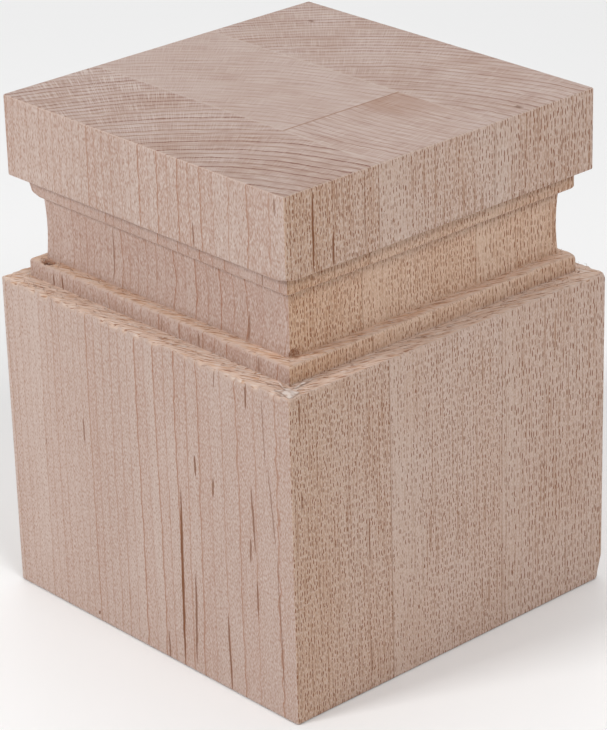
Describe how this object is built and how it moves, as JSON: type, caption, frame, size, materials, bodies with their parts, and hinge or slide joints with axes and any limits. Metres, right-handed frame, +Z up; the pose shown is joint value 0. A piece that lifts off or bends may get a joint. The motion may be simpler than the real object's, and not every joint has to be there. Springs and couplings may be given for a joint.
{
  "type": "square bun foot",
  "caption": "Square solid beech furniture foot with a plain block base, a stepped and mitred groove round its neck, and a flat square cap that is fastened under a cabinet.",
  "frame": {"origin": "middle of the bottom face, on the floor", "axes": "+Z up along the foot's axis; X and Y square to its four sides. The glue lines of the blank lie across Y, so the -Y side is the face of one board and the +X side shows the boards' edges"},
  "size_m": [0.127, 0.127, 0.1587],
  "materials": {
    "beech": "raw sanded beech, matt, unfinished"
  },
  "bodies": {
    "root": {"foot": "beech"}
  },
  "joints": []
}
